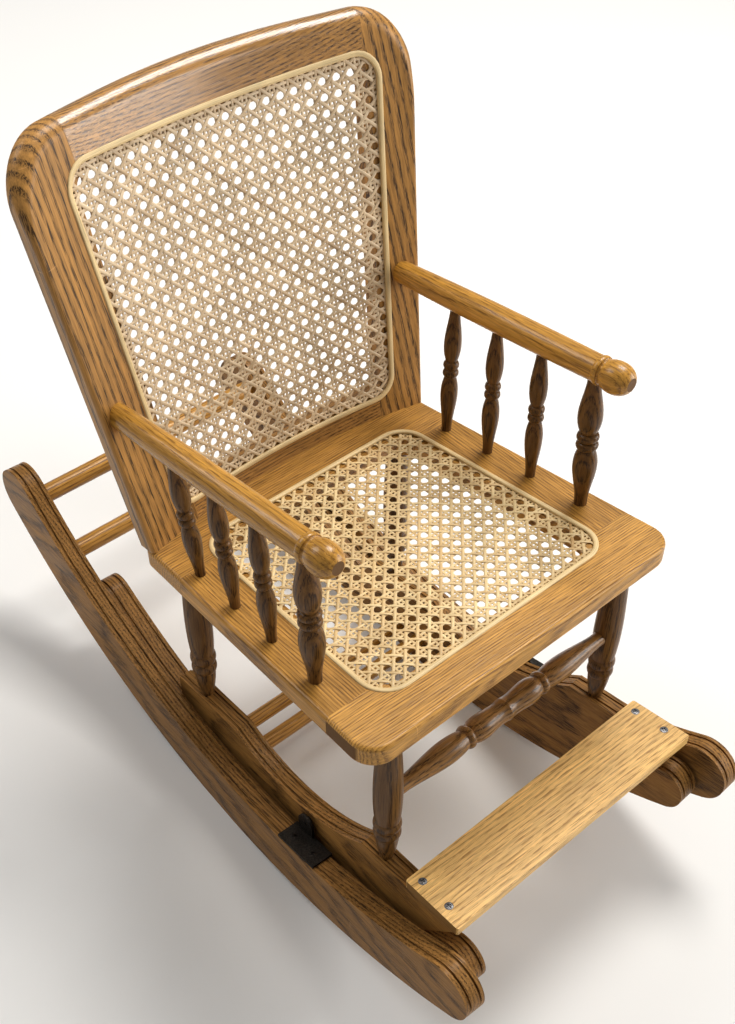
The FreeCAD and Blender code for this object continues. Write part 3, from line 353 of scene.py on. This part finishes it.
def ringMesh(name, strips, closedRun=False):
    mesh = bpy.data.meshes.new(name)
    verts, faces, tones, runs = [], [], [], []
    for rings, tone, offset, along in strips:
        base, count, total = len(verts), len(rings[0]), len(rings)
        for ring, run in zip(rings, along):
            verts += ring
            tones += [tone] * count
            runs += [(offset, fibreTurns * j / count, run) for j in range(count)]
        for k in range(total if closedRun else total - 1):
            here, there = base + k * count, base + (k + 1) % total * count
            for j in range(count):
                jj = (j + 1) % count
                faces.append((here + j, here + jj, there + jj, there + j))
        if not closedRun:
            last = base + (total - 1) * count
            faces.append(tuple(base + j for j in reversed(range(count))))
            faces.append(tuple(last + j for j in range(count)))
    mesh.from_pydata([tuple(v) for v in verts], [], faces)
    mesh.update()
    toneLayer = mesh.attributes.new("strandTone", "FLOAT", "POINT")
    toneLayer.data.foreach_set("value", tones)
    runLayer = mesh.attributes.new("strandRun", "FLOAT_VECTOR", "POINT")
    runLayer.data.foreach_set("vector", [c for r in runs for c in r])
    shape = bmesh.new()
    shape.from_mesh(mesh)
    bmesh.ops.recalc_face_normals(shape, faces=shape.faces)
    shape.to_mesh(mesh)
    shape.free()
    for polygon in mesh.polygons:
        polygon.use_smooth = True
    obj = bpy.data.objects.new(name, mesh)
    scene.collection.objects.link(obj)
    return obj


# outline with rounded corners, as points spaced along it
def softOutline(corners, radius, spacing):
    leastSteps = 4
    points = []
    count = len(corners)
    for i, corner in enumerate(corners):
        following = corners[(i + 1) % count]
        before = (corners[i - 1] - corner).normalized()
        after = (following - corner).normalized()
        half = before.angle(after) / 2
        centre = corner + (before + after).normalized() * radius / math.sin(half)
        start = corner + before * radius / math.tan(half) - centre
        sweep = math.pi - 2 * half
        steps = max(leastSteps, int(radius * sweep / spacing))
        for k in range(steps + 1):
            points.append(centre + Matrix.Rotation(sweep * k / steps, 2) @ start)
        # straight run to where the next corner begins to turn
        end = points[-1]
        nextBefore = (corner - following).normalized()
        nextAfter = (corners[(i + 2) % count] - following).normalized()
        stop = following + nextBefore * radius / math.tan(nextBefore.angle(nextAfter) / 2)
        run = max(1, int((stop - end).length / spacing))
        points += [end.lerp(stop, k / run) for k in range(1, run)]
    return points


# cane: pairs up and across with a cross at every meeting, woven over and under
seatCane = {"pitchU": 0.0127, "pitchV": 0.0127, "startU": 0.0, "startV": 0.0, "lift": -0.0019,
            "corners": [(-0.1258, -0.0075), (0.1258, -0.0075), (0.1138, 0.219), (-0.1138, 0.219)],
            "corner": 0.022, "seed": 4}
backHalf = {"foot": 0.155, "top": 0.186, "height": 0.333, "stile": 0.0348, "spline": 0.0045, "shift": 0.006,
            "low": 0.018, "high": 0.296}


def backCorner(side, height):
    rise = (backHalf["top"] - backHalf["foot"]) / backHalf["height"]
    half = backHalf["foot"] + rise * height - backHalf["stile"] - backHalf["spline"]
    return (backHalf["shift"] + side * half, height)


backCane = {"pitchU": 0.0127, "pitchV": 0.0117, "startU": 0.0, "startV": 0.0285, "lift": -0.0019,
            "corners": [backCorner(-1, backHalf["low"]), backCorner(1, backHalf["low"]),
                        backCorner(1, backHalf["high"]), backCorner(-1, backHalf["high"])],
            "corner": 0.018, "seed": 9}
strand = {"pair": 0.0039, "wide": 0.0024, "cross": 0.0028, "thick": 0.00042, "sway": 0.00034, "step": 0.0016,
          "tuck": 0.003, "fewest": 6, "outlineStep": 0.006,
          "shoulder": 0.72, "shoulderRise": 0.8, "belly": 0.6,  # shares of the half width and the thickness
          "bend": 0.00018, "bendWave": 31, "fibreRun": 18, "tone": 0.3, "toneSpread": 0.24, "shuffle": 90,
          "upLayer": -0.0001, "acrossLayer": 0.0, "crossLow": 0.00028, "crossHigh": 0.00034,
          "pairPhase": 1.5, "crossPhase": 1.2, "spare": 2}


def insideOf(outline):
    edges = list(zip(outline, outline[1:] + outline[:1]))

    def inside(p):
        return all((b - a).cross(p - a) > -strand["tuck"] * (b - a).length for a, b in edges)
    return inside


def cells(low, high, pitch):
    return range(math.floor(low / pitch) - 1, math.ceil(high / pitch) + 2)


def weave(name, panel, place):
    dice = random.Random(panel["seed"])
    corners = [Vector(c) for c in panel["corners"]]
    outline = softOutline(corners, panel["corner"], strand["outlineStep"])
    inside = insideOf(outline)
    pu, pv = panel["pitchU"], panel["pitchV"]
    startU, startV = panel["startU"], panel["startV"]
    low = Vector((min(p.x for p in outline), min(p.y for p in outline)))
    high = Vector((max(p.x for p in outline), max(p.y for p in outline)))
    reach = (high - low).length
    strips = []

    def lay(origin, heading, width, layer, wave, phase):
        # one strand along a line, cut where it tucks under the spline
        count = int(2 * reach / strand["step"])
        spots = [origin + heading * (reach * (2 * k / count - 1)) for k in range(count + 1)]
        keep = [p for p in spots if inside(p)]
        if len(keep) < strand["fewest"]:
            return
        across = Vector((-heading.y, heading.x))
        bend = dice.uniform(-strand["bend"], strand["bend"])
        half, thick = width / 2, strand["thick"]
        shoulder, rise = strand["shoulder"] * half, thick * strand["shoulderRise"]
        section = [(-half, 0), (-shoulder, rise), (0, thick), (shoulder, rise), (half, 0),
                   (0, -strand["belly"] * thick)]
        rings, along = [], []
        for p in keep:
            run = (p - origin).dot(heading)
            lift = panel["lift"] + layer + strand["sway"] * math.sin(wave * run + phase)
            mid = p + across * (bend * math.sin(run * strand["bendWave"] + phase))
            rings.append([place(*(mid + across * s), lift + t) for s, t in section])
            along.append(run * strand["fibreRun"])
        tone = min(1.0, max(0.0, dice.gauss(strand["tone"], strand["toneSpread"])))
        strips.append((rings, tone, dice.uniform(0, strand["shuffle"]), along))

    columns = cells(low.x, high.x, pu)
    rows = cells(low.y - startV, high.y - startV, pv)
    for i in columns:
        for side in (-1, 1):
            start = Vector((startU + (i + 0.5) * pu + side * strand["pair"] / 2, startV))
            phase = side * strand["pairPhase"] + i * math.pi
            lay(start, Vector((0, 1)), strand["wide"], strand["upLayer"], math.pi / pv, phase)
    for j in rows:
        for side in (-1, 1):
            start = Vector((startU, startV + (j + 0.5) * pv + side * strand["pair"] / 2))
            phase = -side * strand["pairPhase"] + j * math.pi
            lay(start, Vector((1, 0)), strand["wide"], strand["acrossLayer"], math.pi / pu, phase)
    spare = strand["spare"]
    rightward = range(min(columns) - max(rows) - spare, max(columns) - min(rows) + spare + 1)
    leftward = range(min(columns) + min(rows) - spare, max(columns) + max(rows) + spare + 1)
    for turn, starts, layer in ((1, rightward, strand["crossLow"]), (-1, leftward, strand["crossHigh"])):
        slant = Vector((turn * pu, pv))
        wave = 2 * math.pi / slant.length
        for k in starts:
            start = Vector((startU + (k + 0.5) * pu, startV))
            lay(start, slant.normalized(), strand["cross"], layer, wave, turn * strand["crossPhase"])
    return ringMesh(name, strips)


# spline: a half-round band pressed into the groove over the cane's edge
spline = {"width": 0.0045, "proud": 0.0011, "sunk": -0.0012, "slack": 0.0001, "step": 0.004,
          "edgeRise": 0.35, "shoulder": 0.14, "shoulderRise": 0.8, "crown": 0.32,  # shares of its size
          "tone": 0.25, "fibreStart": 3.0, "fibreRun": 14}


def band(name, panel, place):
    outline = softOutline([Vector(c) for c in panel["corners"]], panel["corner"], spline["step"])
    count = len(outline)
    width, proud, slack = spline["width"], spline["proud"], spline["slack"]
    rising = [(slack, spline["sunk"]), (slack, proud * spline["edgeRise"]),
              (spline["shoulder"] * width, proud * spline["shoulderRise"]), (spline["crown"] * width, proud)]
    section = rising + [(width - s, t) for s, t in reversed(rising)]
    rings, along = [], []
    run = 0.0
    for k, p in enumerate(outline):
        following = outline[(k + 1) % count]
        heading = (following - outline[k - 1]).normalized()
        out = Vector((heading.y, -heading.x))
        rings.append([place(*(p + out * s), t) for s, t in section])
        along.append(run * spline["fibreRun"])
        run += (following - p).length
    return ringMesh(name, [(rings, spline["tone"], spline["fibreStart"], along)], closedRun=True)


seatStraw = straw("seatStraw", (0.93, 0.70, 0.36), (0.62, 0.38, 0.145), fibre=3.2)
backStraw = straw("backStraw", (0.88, 0.68, 0.44), (0.54, 0.36, 0.19), fibre=3.2)
bandStraw = straw("bandStraw", (0.93, 0.71, 0.36), (0.70, 0.46, 0.20), fibre=2.4)
dressed = [
    (weave("seatWeave", seatCane, seatPoint), "seat_cane", seatStraw, "cane"),
    (weave("backWeave", backCane, backPoint), "back_cane", backStraw, "cane"),
    (band("seatBand", seatCane, seatPoint), "seat_spline", bandStraw, "spline"),
    (band("backBand", backCane, backPoint), "back_spline", bandStraw, "spline"),
]
for piece, node, mat, slotName in dressed:
    piece.data.materials.append(mat)
    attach(piece, "chair")
    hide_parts(node)
print("cane woven:", [len(row[0].data.vertices) for row in dressed])


# cross-head screws: a low dome with a cut cross, on a short shank
screwForm = {"dome": 0.0006, "rimDrop": 0.0003, "shank": -0.004, "shankShare": 0.5, "around": 96,
             "rounds": [0.1, 0.2, 0.3, 0.4, 0.5, 0.6, 0.7, 0.8, 0.9, 0.97, 1.0]}


def screwHeads(name, places, head):
    mesh = bpy.data.meshes.new(name)
    shape = bmesh.new()
    radius, around = head["radius"], screwForm["around"]
    angles = [2 * math.pi * k / around for k in range(around)]

    def height(r, a):
        x, y = abs(r * math.cos(a)), abs(r * math.sin(a))
        wide, long = head["crossWide"], head["crossLong"]
        cut = (x < wide and y < long) or (y < wide and x < long)
        dome = screwForm["dome"] * (1 - (r / radius) ** 2)
        return dome - (head["drop"] if cut else 0)

    def loop(place, r, levels):
        points = [Vector((r * math.cos(a), r * math.sin(a), level)) for a, level in zip(angles, levels)]
        return [shape.verts.new(place @ point) for point in points]

    for place in places:
        loops = []
        for share in screwForm["rounds"]:
            r = share * radius
            lower = screwForm["rimDrop"] if share == 1 else 0
            loops.append(loop(place, r, [height(r, a) - lower for a in angles]))
        loops.append(loop(place, radius * screwForm["shankShare"], [screwForm["shank"]] * around))
        shape.faces.new(loops[0])
        for first, second in zip(loops, loops[1:]):
            for k in range(around):
                kk = (k + 1) % around
                shape.faces.new((first[k], second[k], second[kk], first[kk]))
        shape.faces.new(list(reversed(loops[-1])))
    bmesh.ops.recalc_face_normals(shape, faces=shape.faces)
    shape.to_mesh(mesh)
    shape.free()
    obj = bpy.data.objects.new(name, mesh)
    scene.collection.objects.link(obj)
    return obj


# the sides close in toward the back: half width at the front, and degrees a side
sides = {"half": 0.174, "front": -0.150, "splay": 2.4}
splay = math.radians(sides["splay"])


def sideX(inward, y):
    return sides["half"] - inward / math.cos(splay) - (y - sides["front"]) * math.tan(splay)


step = {"cuspY": 0.002, "cuspZ": -0.1775, "toeY": -0.112, "toeZ": -0.176, "thick": 0.009, "inward": 0.0365,
        "screwRows": (-0.066, -0.097), "firstTurn": 0.5,
        "head": {"radius": 0.0038, "crossWide": 0.00055, "crossLong": 0.0022, "drop": 0.0011}}
stepSlope = (step["cuspZ"] - step["toeZ"]) / (step["cuspY"] - step["toeY"])
stepTilt = math.atan(stepSlope)
stepRise = Matrix.Translation((0, 0, step["cuspZ"] - stepSlope * step["cuspY"]))
stepFrame = seatFrame @ stepRise @ Matrix.Rotation(stepTilt, 4, "X")
stepPlaces = []
for side in (-1, 1):
    for row in step["screwRows"]:
        spot = (side * sideX(step["inward"], row), row / math.cos(stepTilt), step["thick"])
        driven = Matrix.Rotation(step["firstTurn"] + len(stepPlaces), 4, "Z")  # no two crosses line up
        stepPlaces.append(stepFrame @ Matrix.Translation(spot) @ driven)
stepScrews = screwHeads("stepScrews", stepPlaces, step["head"])
stepScrews.data.materials.append(screwSteel)
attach(stepScrews, "chair")
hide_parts("footrest_screws")

# the bracket's plate lies on the outer rail's inner arc
bracket = {"arcY": 0.0915, "arcZ": 0.2872, "rockerRadius": 0.5748, "railDepth": 0.057, "plate": 0.0024,
           "middle": -3.5, "spread": 1.45, "inward": 0.010,
           "head": {"radius": 0.0032, "crossWide": 0.00045, "crossLong": 0.0025, "drop": 0.0009}}
plateRadius = bracket["rockerRadius"] - bracket["railDepth"] - bracket["plate"]
bracketPlaces = []
for side in (-1, 1):
    sideTurn = Matrix.Rotation(math.radians(side * sides["splay"]), 4, "Z")
    sideFrame = Matrix.Translation((side * sides["half"], sides["front"], 0)) @ sideTurn
    for turnBy in (-bracket["spread"], bracket["spread"]):
        a = math.radians(bracket["middle"] + turnBy)
        v = bracket["arcY"] - sides["front"] + plateRadius * math.sin(a)
        w = bracket["arcZ"] - plateRadius * math.cos(a)
        spot = Matrix.Translation((-side * bracket["inward"], v, w))
        bracketPlaces.append(seatFrame @ sideFrame @ spot @ Matrix.Rotation(a, 4, "X"))
bracketScrews = screwHeads("bracketScrews", bracketPlaces, bracket["head"])
bracketScrews.data.materials.append(blackIron)
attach(bracketScrews, "outer_rockers")
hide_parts("bracket_screws")
print("screws set")

# eased edges on the sawn boards and the brackets
easing = {"segments": 2, "sharpest": 40,
          "widths": {"footrest_board": 0.0014, "left_runner": 0.0016, "right_runner": 0.0016,
                     "left_pivot_bracket": 0.0005, "right_pivot_bracket": 0.0005}}
for node, width in easing["widths"].items():
    soft = nodes[node].modifiers.new("easedEdge", "BEVEL")
    soft.width = width
    soft.segments = easing["segments"]
    soft.limit_method = "ANGLE"
    soft.angle_limit = math.radians(easing["sharpest"])
    soft.harden_normals = False


# floor, light and camera
floor = {"reach": 6.0, "colour": (0.86, 0.855, 0.845), "roughness": 0.9}
floorMesh = bpy.data.meshes.new("studioFloor")
floorCorners = [(x * floor["reach"], y * floor["reach"], 0) for x, y in ((-1, -1), (1, -1), (1, 1), (-1, 1))]
floorMesh.from_pydata(floorCorners, [], [(0, 1, 2, 3)])
studioFloor = bpy.data.objects.new("studioFloor", floorMesh)
scene.collection.objects.link(studioFloor)
paper, _, paperShader = newMaterial("paperFloor")
paperShader.inputs["Base Color"].default_value = (*floor["colour"], 1)
paperShader.inputs["Roughness"].default_value = floor["roughness"]
floorMesh.materials.append(paper)

room = {"colour": (1.0, 0.985, 0.96), "strength": 0.28}
world = bpy.data.worlds.new("softRoom")
scene.world = world
world.use_nodes = True
roomLight = world.node_tree.nodes["Background"]
roomLight.inputs["Color"].default_value = (*room["colour"], 1)
roomLight.inputs["Strength"].default_value = room["strength"]

lamps = {
    "windowKey": {"place": (1.1, 0.5, 2.3), "aim": (0, 0, 0.3), "size": 0.9, "watts": 46,
                  "tint": (1.0, 0.97, 0.92)},
    "frontFill": {"place": (1.9, -1.5, 1.15), "aim": (0, 0, 0.35), "size": 1.4, "watts": 42,
                  "tint": (1.0, 0.98, 0.95)},
    "backRim": {"place": (-0.9, 1.7, 2.0), "aim": (0, 0.1, 0.4), "size": 1.0, "watts": 18,
                "tint": (1.0, 0.99, 0.97)},
}
for name, lamp in lamps.items():
    light = bpy.data.lights.new(name, "AREA")
    light.energy = lamp["watts"]
    light.size = lamp["size"]
    light.color = lamp["tint"]
    obj = bpy.data.objects.new(name, light)
    obj.location = lamp["place"]
    obj.rotation_mode = "QUATERNION"
    obj.rotation_quaternion = (Vector(lamp["aim"]) - Vector(lamp["place"])).to_track_quat("-Z", "Y")
    scene.collection.objects.link(obj)

# the photo's view, fitted in the seat's frame; focal length and centre are in the photo's pixels
photoView = {"place": (-0.55903, -0.45426, 0.69387), "turn": (41.4006, 1.0945, -41.9386), "focal": 1269.5,
             "width": 735, "height": 1024, "centreX": 332.05, "centreY": 708.87,
             "sensor": 36, "nearest": 0.01}
lens = bpy.data.cameras.new("photoCamera")
lens.sensor_width = photoView["sensor"]
lens.lens = photoView["focal"] / photoView["height"] * lens.sensor_width
lens.shift_x = (photoView["width"] / 2 - photoView["centreX"]) / photoView["height"]
lens.shift_y = (photoView["centreY"] - photoView["height"] / 2) / photoView["height"]
lens.clip_start = photoView["nearest"]
camera = bpy.data.objects.new("photoCamera", lens)
cameraTurn = Euler([math.radians(a) for a in photoView["turn"]], "XYZ").to_matrix().to_4x4()
camera.matrix_world = seatFrame @ Matrix.Translation(photoView["place"]) @ cameraTurn
scene.collection.objects.link(camera)
scene.camera = camera
print("studio ready")

bpy.context.view_layer.update()
